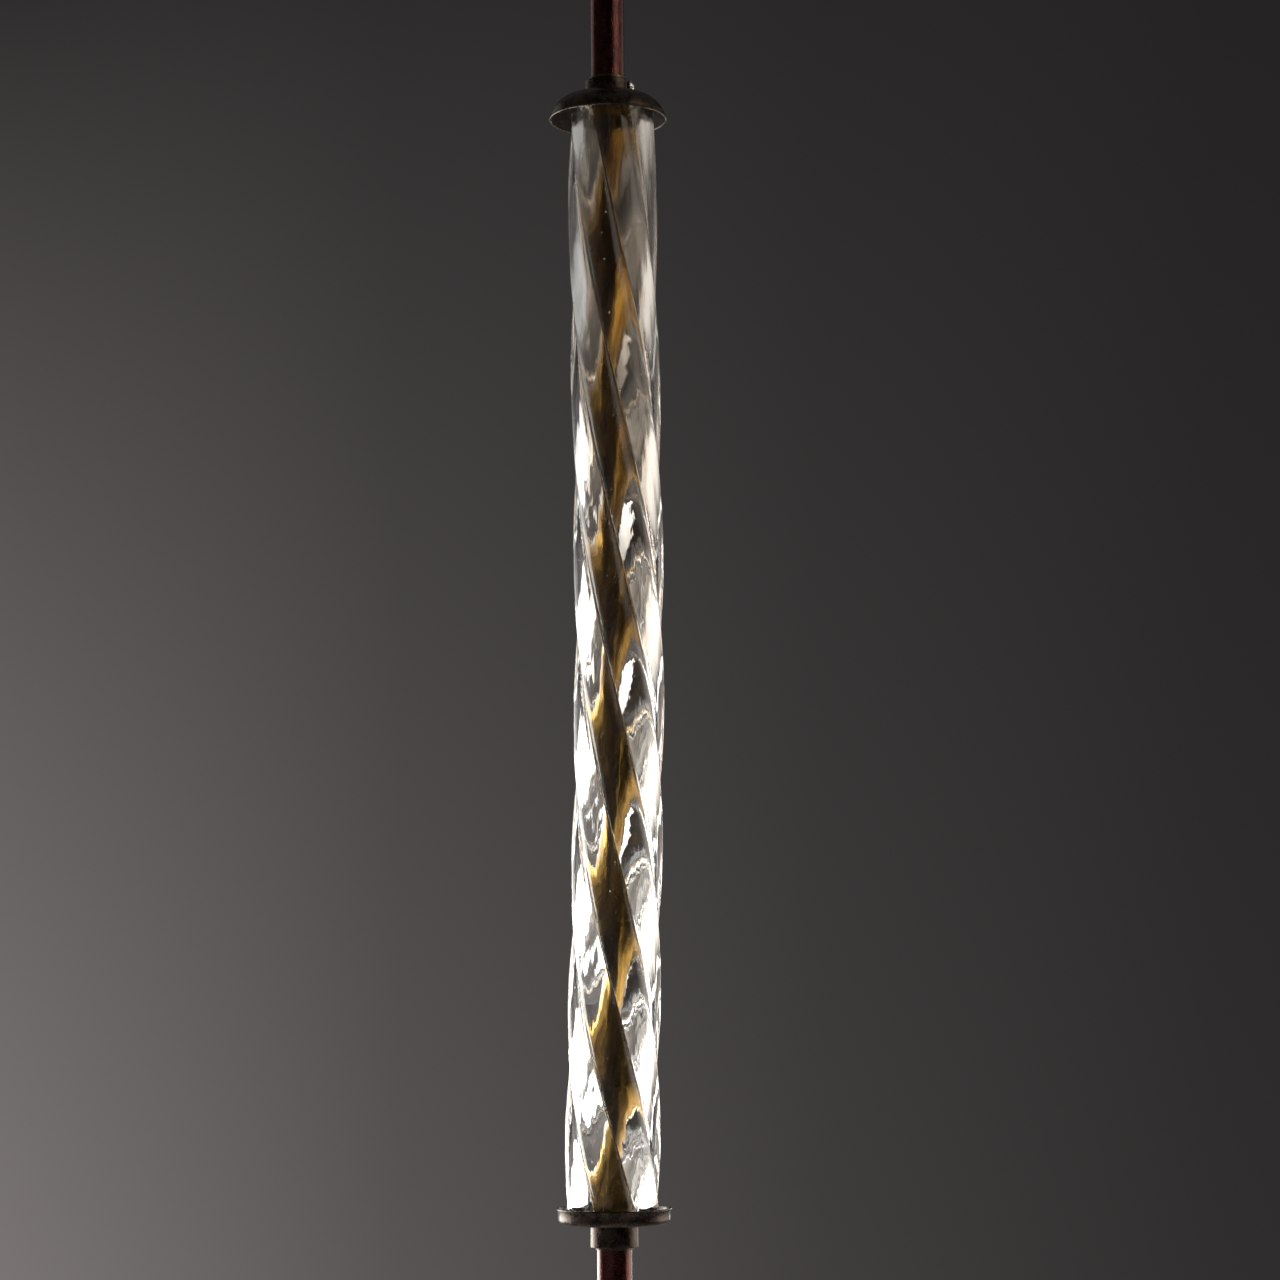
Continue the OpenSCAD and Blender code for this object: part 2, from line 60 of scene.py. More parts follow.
BELL_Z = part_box("bell_cap")[0].z            # rim plane of the bell cap
CROWN_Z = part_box("bell_cap")[1].z           # its flat top
DISH_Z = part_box("bottom_dish")[1].z         # rim plane of the dish
DISH_FLOOR_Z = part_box("bottom_dish")[0].z   # its underside
TAIL_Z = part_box("lower_stem")[0].z          # end of the lower stem
POLE_R = box_radius("upper_stem")
BELL_R = box_radius("bell_cap")
DISH_R = box_radius("bottom_dish")
CANOPY_R = box_radius("canopy")
CANOPY_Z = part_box("canopy")[0].z            # underside of the canopy
POLE_WALL = 1.5 * MM
SHEET = 1.5 * MM                            # thickness of bell cap, dish and canopy
BELL_CURVE = 21 * MM                        # radius of the dome's section
CANOPY_HOLE_R = 20 * MM                     # hole that the pole swings in
SLIDE_GAP = 0.3 * MM                        # clearance between a plate's hole and the pole


# ---- Materials ----

class Nodes:
    """A material's node tree with short ways to add and link nodes."""

    def __init__(self, name):
        self.material = bpy.data.materials.new(name)
        self.material.use_nodes = True
        self.tree = self.material.node_tree
        self.shader = self.tree.nodes["Principled BSDF"]
        self.place = self.add("ShaderNodeTexCoord").outputs["Object"]

    def add(self, kind, **settings):
        node = self.tree.nodes.new(kind)
        for key, value in settings.items():
            setattr(node, key, value)
        return node

    def link(self, source, target):
        self.tree.links.new(source, target)

    def feed(self, socket, value):
        """Links an output to the socket, or sets the socket to a constant."""
        if hasattr(value, "is_output"):
            self.link(value, socket)
        else:
            socket.default_value = value

    def set(self, **values):
        """Sets sockets of the shader; underscores stand for spaces."""
        for key, value in values.items():
            self.feed(self.shader.inputs[key.replace("_", " ")], value)

    def stretched(self, scale):
        """The object's own coordinates, scaled differently along each axis."""
        mapping = self.add("ShaderNodeMapping")
        mapping.inputs["Scale"].default_value = scale
        self.link(self.place, mapping.inputs["Vector"])
        return mapping.outputs["Vector"]

    def noise(self, size, detail=3.0, rough=0.55, where=None, warp=0.0):
        """Noise whose features are about `size` metres across."""
        node = self.add("ShaderNodeTexNoise")
        self.link(where or self.place, node.inputs["Vector"])
        node.inputs["Scale"].default_value = 1.0 / size
        node.inputs["Detail"].default_value = detail
        node.inputs["Roughness"].default_value = rough
        node.inputs["Distortion"].default_value = warp
        return node.outputs["Fac"]

    def cells(self, size, where=None):
        """Distance from the middle of cells about `size` metres across."""
        node = self.add("ShaderNodeTexVoronoi", feature="F1")
        self.link(where or self.place, node.inputs["Vector"])
        node.inputs["Scale"].default_value = 1.0 / size
        return node.outputs["Distance"]

    def ramp(self, source, low, high, out_low=0.0, out_high=1.0):
        """A smooth step from out_low to out_high while the source goes from low to high."""
        node = self.add("ShaderNodeMapRange", interpolation_type="SMOOTHSTEP")
        for socket, value in zip(node.inputs[1:5], (low, high, out_low, out_high)):
            socket.default_value = value
        self.link(source, node.inputs[0])
        return node.outputs[0]

    def math(self, operation, a, b):
        node = self.add("ShaderNodeMath", operation=operation)
        self.feed(node.inputs[0], a)
        self.feed(node.inputs[1], b)
        return node.outputs[0]

    def times(self, a, b):
        return self.math("MULTIPLY", a, b)

    def mix(self, factor, a, b):
        """Colour a where the factor is 0 and b where it is 1."""
        node = self.add("ShaderNodeMix", data_type="RGBA")
        self.link(factor, node.inputs["Factor"])
        for socket, colour in ((node.inputs[6], a), (node.inputs[7], b)):
            self.feed(socket, (*colour, 1.0) if isinstance(colour, tuple) else colour)
        return node.outputs[2]

    def edges(self):
        """1 on convex edges, from the mesh's own shape."""
        node = self.add("ShaderNodeNewGeometry")
        return self.ramp(node.outputs["Pointiness"], 0.52, 0.62)

    def bump(self, height, depth, under=None):
        """A bump whose highest point stands `depth` metres proud."""
        node = self.add("ShaderNodeBump")
        node.inputs["Strength"].default_value = 1.0
        node.inputs["Distance"].default_value = depth
        self.link(height, node.inputs["Height"])
        if under is not None:
            self.link(under, node.inputs["Normal"])
        return node.outputs["Normal"]


def bronze(name, dark, light, worn, pit_size):
    """Patinated bronze: mottled dark skin, fine pits, and a little metal on worn edges."""
    n = Nodes(name)
    patches = n.ramp(n.noise(9 * MM, detail=5, rough=0.6, warp=0.6), 0.38, 0.66)
    specks = n.ramp(n.noise(1.4 * MM, detail=3, rough=0.6), 0.52, 0.72)
    skin = n.mix(patches, dark, light)
    skin = n.mix(n.times(specks, 0.45), skin, worn)
    skin = n.mix(n.times(n.edges(), 0.3), skin, worn)
    rough = n.math("ADD", n.ramp(patches, 0, 1, 0.22, 0.33), n.times(specks, 0.15))
    pits = n.ramp(n.cells(pit_size), 0.05, 0.4)
    dents = n.bump(n.noise(5 * MM, detail=4, rough=0.6), 0.20 * MM)
    n.set(Base_Color=skin, Roughness=rough, Metallic=0.9, Normal=n.bump(pits, 0.10 * MM, dents))
    return n.material


def stem_bronze():
    """Red-brown patinated tube with a leathery grain under a thin clear lacquer."""
    n = Nodes("stem_bronze")
    along = n.stretched((1.0, 1.0, 0.35))
    streaks = n.ramp(n.noise(6 * MM, detail=5, rough=0.65, where=along, warp=0.8), 0.35, 0.68)
    rubbed = n.ramp(n.noise(2.2 * MM, detail=4, rough=0.7), 0.50, 0.70)
    skin = n.mix(streaks, (0.050, 0.013, 0.011), (0.130, 0.036, 0.028))
    skin = n.mix(n.times(rubbed, 0.35), skin, (0.30, 0.11, 0.075))
    grain = n.ramp(n.cells(1.6 * MM, where=n.stretched((1.0, 1.0, 0.6))), 0.08, 0.5)
    dents = n.bump(n.noise(3.5 * MM, detail=4, rough=0.6), 0.15 * MM)
    n.set(Base_Color=skin, Roughness=n.ramp(streaks, 0, 1, 0.14, 0.24), Metallic=0.9)
    n.set(Coat_Weight=0.3, Coat_Roughness=0.08, Normal=n.bump(grain, 0.08 * MM, dents))
    return n.material


def core_brass():
    """Aged brass tube, half polished, with dark stains that run lengthwise."""
    n = Nodes("core_brass")
    along = n.stretched((1.0, 1.0, 0.15))
    stains = n.ramp(n.noise(8 * MM, detail=5, rough=0.65, where=along, warp=0.5), 0.36, 0.64)
    flecks = n.ramp(n.noise(1.5 * MM, detail=3, rough=0.6), 0.60, 0.74)
    skin = n.mix(stains, (0.14, 0.08, 0.022), (0.48, 0.30, 0.075))
    skin = n.mix(n.times(flecks, 0.5), skin, (0.10, 0.06, 0.02))
    brushed = n.noise(0.9 * MM, detail=2, rough=0.5, where=n.stretched((1.0, 1.0, 0.06)))
    n.set(Base_Color=skin, Roughness=n.ramp(stains, 0, 1, 0.30, 0.18), Metallic=1.0)
    n.set(Normal=n.bump(brushed, 0.03 * MM))
    return n.material


def turned_metal(name, base, tarnish, rough=0.25, wear=0.6):
    """Plain turned or plated metal: fine turning lines, light tarnish, bright edges."""
    n = Nodes(name)
    cloud = n.ramp(n.noise(4 * MM, detail=4, rough=0.6), 0.4, 0.7)
    skin = n.mix(n.times(cloud, 0.6), base, tarnish)
    bright = tuple(min(1.0, 1.25 * c) for c in base)
    skin = n.mix(n.times(n.edges(), wear), skin, bright)
    lines = n.noise(0.35 * MM, detail=2, rough=0.5, where=n.stretched((0.15, 0.15, 1.0)))
    n.set(Base_Color=skin, Roughness=n.ramp(cloud, 0, 1, rough, rough + 0.15), Metallic=1.0)
    n.set(Normal=n.bump(lines, 0.02 * MM))
    return n.material


def moulded(name, base, shade, rough, grain=0.5 * MM, depth=0.03 * MM):
    """Moulded plastic, rubber or board: slight colour drift, fine grain, dusty edges."""
    n = Nodes(name)
    drift = n.ramp(n.noise(12 * MM, detail=3, rough=0.5), 0.35, 0.65)
    dusty = tuple(min(1.0, c * 1.2 + 0.03) for c in base)
    skin = n.mix(n.times(n.edges(), 0.25), n.mix(drift, base, shade), dusty)
    n.set(Base_Color=skin, Roughness=n.ramp(drift, 0, 1, rough, min(1.0, rough + 0.1)))
    n.set(Normal=n.bump(n.noise(grain, detail=2, rough=0.5), depth))
    return n.material


FILM_HEIGHTS = (BELL_Z - 0.34, BELL_Z - 0.02)    # where the film starts and where it is full
TINT_HEIGHTS = (BELL_Z - 0.66, BELL_Z - 0.06)    # the same for its brown tint


def clear_glass(name, wave_depth, dust=0.0):
    """Hand-blown clear glass: slow waves, faint cords, and a brown dusty film near the top."""
    n = Nodes(name)
    waves = n.noise(14 * MM, detail=2, rough=0.4, where=n.stretched((1.0, 1.0, 0.25)))
    fine = n.noise(2.5 * MM, detail=2, rough=0.5, where=n.stretched((1.0, 1.0, 0.12)))
    normal = n.bump(fine, 0.25 * wave_depth, n.bump(waves, wave_depth))
    n.set(IOR=1.5, Transmission_Weight=1.0, Normal=normal)
    if dust:
        parts = n.add("ShaderNodeSeparateXYZ")
        n.link(n.place, parts.inputs[0])
        height = parts.outputs[2]
        along = n.stretched((1.0, 1.0, 0.16))
        streaks = n.noise(7 * MM, detail=4, rough=0.65, where=along, warp=0.5)
        clouds = n.ramp(streaks, 0.30, 0.70, 0.30, 1.0)
        film = n.times(n.ramp(height, *FILM_HEIGHTS), clouds)
        tint = n.times(n.ramp(height, *TINT_HEIGHTS), clouds)
        n.set(Roughness=n.times(film, dust))
        n.set(Base_Color=n.mix(tint, (0.985, 0.990, 0.980), (0.70, 0.56, 0.40)))
    else:
        n.set(Base_Color=(0.985, 0.992, 0.985, 1.0), Roughness=0.0)
    return n.material


M = {
    "bronze": bronze(
        "dark_bronze", (0.026, 0.020, 0.016), (0.080, 0.059, 0.044), (0.26, 0.19, 0.14), 1.2 * MM
    ),
    # Inside of the bell cap: a dark brown patina, matte and non-metallic. Its darkness is partly
    # painted shade under the dome.
    "inside_patina_and_shade": moulded(
        "bell_inside_patina_and_painted_shade", (0.040, 0.026, 0.013), (0.018, 0.012, 0.007), 0.8,
        grain=1.2 * MM, depth=0.1 * MM,
    ),
    "stem": stem_bronze(),
    "core": core_brass(),
    "brass": turned_metal("turned_brass", (0.62, 0.42, 0.17), (0.30, 0.18, 0.07)),
    "old_brass": turned_metal(
        "old_brass", (0.20, 0.14, 0.08), (0.07, 0.05, 0.03), rough=0.3, wear=0.3
    ),
    "steel": turned_metal("zinc_steel", (0.56, 0.57, 0.58), (0.38, 0.38, 0.37), rough=0.32),
    "bright": turned_metal("bright_plating", (0.80, 0.78, 0.74), (0.60, 0.57, 0.52), rough=0.06),
    "aluminium": turned_metal(
        "turned_aluminium", (0.66, 0.67, 0.68), (0.50, 0.50, 0.50), rough=0.30
    ),
    "green": moulded("green_lacquer", (0.03, 0.20, 0.06), (0.02, 0.14, 0.04), 0.35),
    "driver": moulded("white_housing", (0.74, 0.73, 0.69), (0.66, 0.65, 0.60), 0.45),
    "connector": moulded("orange_cap", (0.50, 0.10, 0.03), (0.40, 0.07, 0.02), 0.40),
    "foam": moulded(
        "black_foam", (0.02, 0.02, 0.022), (0.035, 0.035, 0.035), 0.9,
        grain=1.0 * MM, depth=0.3 * MM,
    ),
    "cable": moulded("ivory_jacket", (0.66, 0.63, 0.55), (0.58, 0.54, 0.46), 0.5),
    "silicone": moulded("grey_silicone", (0.30, 0.30, 0.29), (0.24, 0.24, 0.23), 0.6),
    "board": moulded("white_board", (0.84, 0.84, 0.82), (0.78, 0.78, 0.75), 0.3),
    "chip": moulded(
        "led_phosphor", (0.90, 0.72, 0.25), (0.84, 0.64, 0.20), 0.35,
        grain=0.3 * MM, depth=0.01 * MM,
    ),
    "cover": moulded("frosted_ring", (0.80, 0.80, 0.77), (0.72, 0.71, 0.68), 0.55),
    "glass": clear_glass("blown_glass", 0.25 * MM),
    "bore": clear_glass("blown_glass_bore", 0.35 * MM, dust=0.30),
}


# ---- Mesh tools ----

def new_object(name, mesh, material):
    piece = bpy.data.objects.new(name, mesh)
    bpy.context.scene.collection.objects.link(piece)
    mesh.materials.append(M[material])
    for polygon in mesh.polygons:
        polygon.use_smooth = True
    return piece


def mesh_from(bm, name):
    """A mesh made of the edit mesh, which is freed."""
    mesh = bpy.data.meshes.new(name)
    bm.to_mesh(mesh)
    bm.free()
    return mesh


def arc(centre, radius, start, end, steps=8):
    """Points (r, z) along a circular arc, in degrees."""
    turns = [math.radians(start + (end - start) * i / steps) for i in range(steps + 1)]
    return [(centre[0] + radius * math.cos(t), centre[1] + radius * math.sin(t)) for t in turns]


ROUND_STEPS = 4


def rounded(points, radius):
    """A closed outline with each corner rounded by up to `radius`, in ROUND_STEPS steps."""
    out = []
    count = len(points)
    for i, corner in enumerate(points):
        here = Vector(corner)
        before = Vector(points[i - 1]) - here
        after = Vector(points[(i + 1) % count]) - here
        reach = min(radius, 0.45 * before.length, 0.45 * after.length)
        a = here + before.normalized() * reach
        b = here + after.normalized() * reach
        for k in range(ROUND_STEPS + 1):
            t = k / ROUND_STEPS
            out.append(tuple((1 - t) ** 2 * a + 2 * t * (1 - t) * here + t * t * b))
    return out


def lathe(name, outline, material, around=144, uneven=0.0, seed=0, inside=None):
    """Turns a closed outline of (r, z) points in metres about Z, slightly uneven by hand.

    `inside` is the first row of the outline that faces inwards, and that side's material.
    """
    rng = random.Random(seed)
    waves = [(rng.randint(2, 7), rng.uniform(0, math.tau), rng.uniform(-1, 1)) for _ in range(5)]
    drift = 90  # how far the waves turn with height, in radians a metre
    verts = []
    for r, z in outline:
        for i in range(around):
            turn = math.tau * i / around
            bend = uneven * sum(k * math.cos(n * turn + p + drift * z) for n, p, k in waves) / 3
            verts.append(((r + bend) * math.cos(turn), (r + bend) * math.sin(turn), z))
    faces = []
    rows = len(outline)
    for j in range(rows):
        this, above = j * around, (j + 1) % rows * around
        for i in range(around):
            n = (i + 1) % around
            faces.append((this + i, this + n, above + n, above + i))
    mesh = bpy.data.meshes.new(name)
    mesh.from_pydata(verts, [], faces)
    mesh.update()
    if inside:
        for polygon in mesh.polygons:
            polygon.material_index = int(polygon.index >= inside[0] * around)
    tidy_normals(mesh)
    piece = new_object(name, mesh, material)
    if inside:
        mesh.materials.append(M[inside[1]])
    return piece


SAME_POINT = 1e-7          # lathed points closer than this, in metres, are one point


def tidy_normals(mesh):
    """Merges double points and turns all faces outwards."""
    bm = bmesh.new()
    bm.from_mesh(mesh)
    bmesh.ops.remove_doubles(bm, verts=bm.verts, dist=SAME_POINT)
    bmesh.ops.recalc_face_normals(bm, faces=bm.faces)
    bm.to_mesh(mesh)
    bm.free()


WELD = 2e-6                # CAD points closer than this, in metres, are one point
FLAT = math.radians(1.0)   # faces that meet at less than this are one face
BEVEL_EDGE = math.radians(35)
SHARP_EDGE = math.radians(40)


def softened(node, material, width):
    """A copy of a CAD node with its edges rounded."""
    source = frame["nodes"][node]
    mesh = source.data.copy()
    mesh.materials.clear()
    bm = bmesh.new()
    bm.from_mesh(mesh)
    bmesh.ops.remove_doubles(bm, verts=bm.verts, dist=WELD)
    bmesh.ops.dissolve_limit(bm, angle_limit=FLAT, verts=bm.verts, edges=bm.edges)
    bm.to_mesh(mesh)
    bm.free()
    piece = new_object(node + "_finish", mesh, material)
    bevel = piece.modifiers.new("edge", "BEVEL")
    bevel.width = width
    bevel.segments = 2
    bevel.limit_method = "ANGLE"
    bevel.angle_limit = BEVEL_EDGE
    apply_modifiers(piece)
    sharp_by_angle(piece, SHARP_EDGE)
    return piece


def apply_modifiers(piece):
    """Replaces the piece's mesh with what its modifiers make of it."""
    graph = bpy.context.evaluated_depsgraph_get()
    mesh = bpy.data.meshes.new_from_object(piece.evaluated_get(graph))
    piece.modifiers.clear()
    old = piece.data
    piece.data = mesh
    bpy.data.meshes.remove(old)


def sharp_by_angle(piece, limit):
    """Shades an edge as sharp where its faces meet at more than the angle."""
    bm = bmesh.new()
    bm.from_mesh(piece.data)
    for edge in bm.edges:
        edge.smooth = len(edge.link_faces) == 2 and edge.calc_face_angle() < limit
    bm.to_mesh(piece.data)
    bm.free()


def stands_for(piece, node):
    """Rides on the node's body and hides the node."""
    for body, members in frame["record"]["behaviour"]["bodies"].items():
        if node in members:
            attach(piece, body)
    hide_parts(node)
    return piece


# ---- Camera ----

EYE = (21.5 * MM, -2.2, DISH_Z + 0.154)
PITCH = math.radians(6.7)
ROLL = math.radians(-0.40)
LENS = 84.46
SENSOR = 36.0


def make_camera():
    """Chest height, 2.2 m away, tilted up a little."""
    camera = bpy.data.cameras.new("camera")
    eye = bpy.data.objects.new("camera", camera)
    bpy.context.scene.collection.objects.link(eye)
    camera.sensor_width = SENSOR
    camera.lens = LENS
    camera.clip_end = 50.0
    eye.matrix_world = (
        Matrix.Translation(EYE)
        @ Matrix.Rotation(math.pi / 2 + PITCH, 4, "X")
        @ Matrix.Rotation(ROLL, 4, "Z")
    )
    bpy.context.scene.camera = eye


make_camera()


# ---- Twisted glass ----

# Lengths in this section are in mm, and s runs down from the bell's rim.
LOBES = 6
LOBE_OFFSET = 0.56                     # of a lobe's centre, as a share of the radius
GLASS_R = 33.4                         # over the lobes
FLARE = 1.8                            # what the radius gains at the lower end
BORE_R = 26.2                          # mean
BORE_FOLLOW = 0.3                      # share of the lobes that the bore follows
GROOVE_ROUND = math.radians(1.6)
FIRST_GROOVE = math.radians(-119.7)    # where a groove starts at the rim
TWIST = 0.411                          # degrees a mm at the rim
TWIST_GROWTH = 0.000143                # half of what the twist gains with each mm
GLASS_GAP = (BELL_Z - DISH_Z) / MM     # rim to rim
FLARE_START = 0.695 * GLASS_GAP
AXIS_START = 3.2                       # offset of the axis in x at the rim
AXIS_LEAN = 4.5
AXIS_BOW = 4.9


def axis_x(s):
    """Offset of the tube's axis in x: a lean and a bow."""
    t = s / GLASS_GAP
    return AXIS_START - AXIS_LEAN * t + AXIS_BOW * np.sin(math.pi * t) ** 2


def groove_turn(s):
    """Angle of the first groove; the twist quickens slowly downwards."""
    return FIRST_GROOVE + np.radians(TWIST * s + TWIST_GROWTH * s * s)


def tube_r(s):
    """Radius over the lobes, flaring towards the lower end."""
    flare = np.clip((s - FLARE_START) / (GLASS_GAP - FLARE_START), 0, None)
    return GLASS_R + FLARE * flare ** 1.5


def lobe_share(angle):
    """Share of the radius at an angle from a groove, with the groove a little rounded."""
    half = math.pi / LOBES
    from_groove = half - np.abs((angle % (2 * half)) - half)
    rounding = GROOVE_ROUND * np.exp(-from_groove / GROOVE_ROUND)
    eased = np.sqrt(from_groove ** 2 + GROOVE_ROUND ** 2) - rounding
    a = half - np.minimum(eased, half)
    aside = LOBE_OFFSET * np.sin(a)
    return LOBE_OFFSET * np.cos(a) + np.sqrt((1 - LOBE_OFFSET) ** 2 - aside ** 2)


SLOW_WAVES = 9
CORD_WAVES = 10


def slow_noise(s, angle, seed, amount, fastest=0.05):
    """Smooth hand-made unevenness that closes on itself round the tube."""
    rng = random.Random(seed)
    total = np.zeros(np.broadcast(s, angle).shape)
    for _ in range(SLOW_WAVES):
        n = rng.randint(1, 6)
        k = rng.uniform(0.16 * fastest, fastest)
        total = total + rng.uniform(-1, 1) * np.sin(n * angle + k * s + rng.uniform(0, math.tau))
    return amount * total / 3


def cords(s, angle, seed, amount):
    """Fine ridges drawn out along the twist, in mm; they come and go slowly."""
    rng = random.Random(seed)
    total = np.zeros(np.broadcast(s, angle).shape)
    for _ in range(CORD_WAVES):
        n = rng.randint(9, 27)
        k = rng.uniform(-0.012, 0.012)
        swell = np.sin(rng.uniform(0.004, 0.02) * s + rng.uniform(0, math.tau))
        total = total + swell * np.sin(n * angle + k * s + rng.uniform(0, math.tau))
    return amount * total / 3


END_CURL = 0.9      # how far each wall curls in at a fire-polished end
END_LENGTH = 1.6    # over which it curls


def twisted_glass():
    """The blown tube: six round lobes outside, a softer copy of them inside."""
    around = 288
    rings = 460
    top_s = (BELL_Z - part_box("glass_tube")[1].z) / MM
    end_s = (BELL_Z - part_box("glass_tube")[0].z) / MM
    s = np.linspace(top_s, end_s, rings + 1)[:, None]
    a = (np.arange(around) * math.tau / around)[None, :]
    turn = groove_turn(s) + a
    share = lobe_share(a)
    mean_share = (1 + float(lobe_share(np.array([0.0]))[0])) / 2
    outer = tube_r(s) * share * (1 + slow_noise(s, a, seed=3, amount=0.0035))
    outer = outer + cords(s, a, seed=5, amount=0.03)
    uneven = slow_noise(s, a, seed=8, amount=0.012)
    uneven = uneven + slow_noise(s, a, seed=14, amount=0.003, fastest=0.12)
    bore = BORE_R * (1 + BORE_FOLLOW * (share - mean_share)) * (1 + uneven)
    bore = bore + cords(s, a, seed=6, amount=0.035)
    near_end = np.minimum(s - top_s, end_s - s)
    curl = END_CURL * np.clip(1 - near_end / END_LENGTH, 0, 1) ** 2
    verts = []
    for radius, side in ((outer, -1), (bore, 1)):
        r = radius + side * curl
        x = axis_x(s) + r * np.cos(turn)
        y = r * np.sin(turn)
        z = np.broadcast_to(BELL_Z / MM - s, r.shape)
        verts.append(np.stack([x, y, z], -1).reshape(-1, 3))
    points = np.concatenate(verts) * MM
    faces = []
    bore_first = (rings + 1) * around
    for i in range(rings):
        for j in range(around):
            k = (j + 1) % around
            p, q = i * around, (i + 1) * around
            faces.append((p + j, q + j, q + k, p + k))
            p, q = bore_first + p, bore_first + q
            faces.append((p + j, p + k, q + k, q + j))
    last = rings * around
    bore_last = bore_first + last
    for j in range(around):
        k = (j + 1) % around
        faces.append((j, k, bore_first + k, bore_first + j))
        faces.append((last + j, bore_last + j, bore_last + k, last + k))
    mesh = bpy.data.meshes.new("twisted_glass")
    mesh.from_pydata(points.tolist(), [], faces)
    mesh.update()
    piece = new_object("twisted_glass", mesh, "glass")
    mesh.materials.append(M["bore"])
    is_bore = np.zeros(len(mesh.polygons), np.int32)
    is_bore[1:2 * rings * around:2] = 1
    mesh.polygons.foreach_set("material_index", is_bore)
    return stands_for(piece, "glass_tube")


SEEDS = 260
SEED_MEAN_SHARE = 0.912    # the bore's mean_share, rounded


def glass_seeds():
    """Small air bubbles in the wall; their faces look inwards, as the air is inside."""
    rng = random.Random(21)
    bm = bmesh.new()
    for _ in range(SEEDS):
        s = rng.uniform(12, GLASS_GAP - 10)
        a = rng.uniform(0, math.tau)
        share = float(lobe_share(np.array([a]))[0])
        depth = rng.uniform(0.25, 0.75)
        outer = float(tube_r(np.array(s))) * share
        inner = BORE_R * (1 + BORE_FOLLOW * (share - SEED_MEAN_SHARE))
        r = inner + (outer - inner) * depth
        turn = float(groove_turn(s)) + a
        size = rng.choice((0.2, 0.25, 0.3, 0.4, 0.55)) * MM
        x = (axis_x(s) + r * math.cos(turn)) * MM
        place = Matrix.Translation((x, r * math.sin(turn) * MM, BELL_Z - s * MM))
        stretch = Matrix.Diagonal((1, 1, rng.uniform(1.2, 2.6), 1))
        bmesh.ops.create_icosphere(bm, subdivisions=2, radius=size, matrix=place @ stretch)
    bmesh.ops.reverse_faces(bm, faces=bm.faces)
    piece = new_object("glass_seeds", mesh_from(bm, "glass_seeds"), "glass")
    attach(piece, "pole")
    return piece


twisted_glass()
glass_seeds()


# ---- Pole ----

TUBE_ROWS = 40
TUBE_EDGE = 0.25 * MM


def pole_tube(node, name, material):
    """A tube of the pole from its CAD node's box, with its outer edges broken."""
    low, high = (corner.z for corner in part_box(node))
    inner = POLE_R - POLE_WALL
    edge = POLE_R - TUBE_EDGE
    outline = [(inner, low), (edge, low), (POLE_R, low + TUBE_EDGE)]
    outline += [(POLE_R, low + (high - low) * i / TUBE_ROWS) for i in range(1, TUBE_ROWS)]
    outline += [(POLE_R, high - TUBE_EDGE), (edge, high), (inner, high)]
    return stands_for(lathe(name, outline, material, around=96), node)


pole_tube("upper_stem", "upper_stem_tube", "stem")
pole_tube("core_tube", "core_brass_tube", "core")
pole_tube("lower_stem", "lower_stem_tube", "stem")


# ---- Bell, dish, collars ----

def bell_shell():
    """Spun shallow dome with a small rolled lip."""
    height = CROWN_Z - BELL_Z
    flat_r = BELL_R - math.sqrt(BELL_CURVE ** 2 - (BELL_CURVE - height) ** 2)
    centre = (flat_r, CROWN_Z - BELL_CURVE)
    rim_turn = math.degrees(math.asin((BELL_Z + 0.9 * MM - centre[1]) / BELL_CURVE))
    lip_r = 0.8 * MM
    outline = [(POLE_R + SLIDE_GAP, CROWN_Z - SHEET), (POLE_R + SLIDE_GAP, CROWN_Z)]
    outline += arc(centre, BELL_CURVE, 90, rim_turn, 36)
    outline += arc((BELL_R - lip_r, BELL_Z + lip_r), lip_r, 10, -190, 9)
    inside_first = len(outline)
    outline += arc(centre, BELL_CURVE - SHEET, rim_turn, 90, 36)
    # The inside faces take the dark matte inside material: patina, with painted shade under the
    # dome.
    piece = lathe(
        "bell_shell", outline, "bronze",
        around=192, uneven=0.18 * MM, seed=5, inside=(inside_first, "inside_patina_and_shade"),
    )
    return stands_for(piece, "bell_cap")


def dish_shell():
    """Spun dish with a small outward lip."""
    wall_r = DISH_R - 0.9 * MM
    corner = 4.5 * MM
    lip_r = 0.7 * MM
    outline = [(POLE_R + SLIDE_GAP, DISH_FLOOR_Z + SHEET), (POLE_R + SLIDE_GAP, DISH_FLOOR_Z)]
    outline += arc((wall_r - corner, DISH_FLOOR_Z + corner), corner, -90, 0, 10)
    outline += [(wall_r, DISH_Z - 2.2 * MM), (DISH_R - 0.2 * MM, DISH_Z - 1.5 * MM)]
    outline += arc((DISH_R - lip_r, DISH_Z - lip_r), lip_r, -20, 160, 8)
    outline += [(wall_r - SHEET, DISH_Z - 1.6 * MM)]
    outline += arc((wall_r - corner, DISH_FLOOR_Z + corner), corner - SHEET, 0, -90, 10)
    piece = lathe("dish_shell", outline, "bronze", around=192, uneven=0.22 * MM, seed=11)
    return stands_for(piece, "bottom_dish")


def ring_piece(node, name, material, edge, uneven=0.0):
    """A collar or bush from its CAD node's box, with rounded edges."""
    low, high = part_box(node)
    inner = min(math.hypot(v.co.x, v.co.y) for v in frame["nodes"][node].data.vertices)
    outer = box_radius(node)
    outline = rounded([(inner, low.z), (outer, low.z), (outer, high.z), (inner, high.z)], edge)
    return stands_for(lathe(name, outline, material, around=128, uneven=uneven, seed=2), node)


bell_shell()
dish_shell()
ring_piece("top_collar", "top_collar_ring", "bronze", 0.6 * MM, 0.05 * MM)
ring_piece("top_collar_bush", "top_bush_sleeve", "old_brass", 0.35 * MM)
ring_piece("lower_collar", "lower_collar_ring", "bronze", 0.6 * MM, 0.05 * MM)
ring_piece("lower_collar_bush", "lower_bush_sleeve", "bronze", 0.3 * MM)


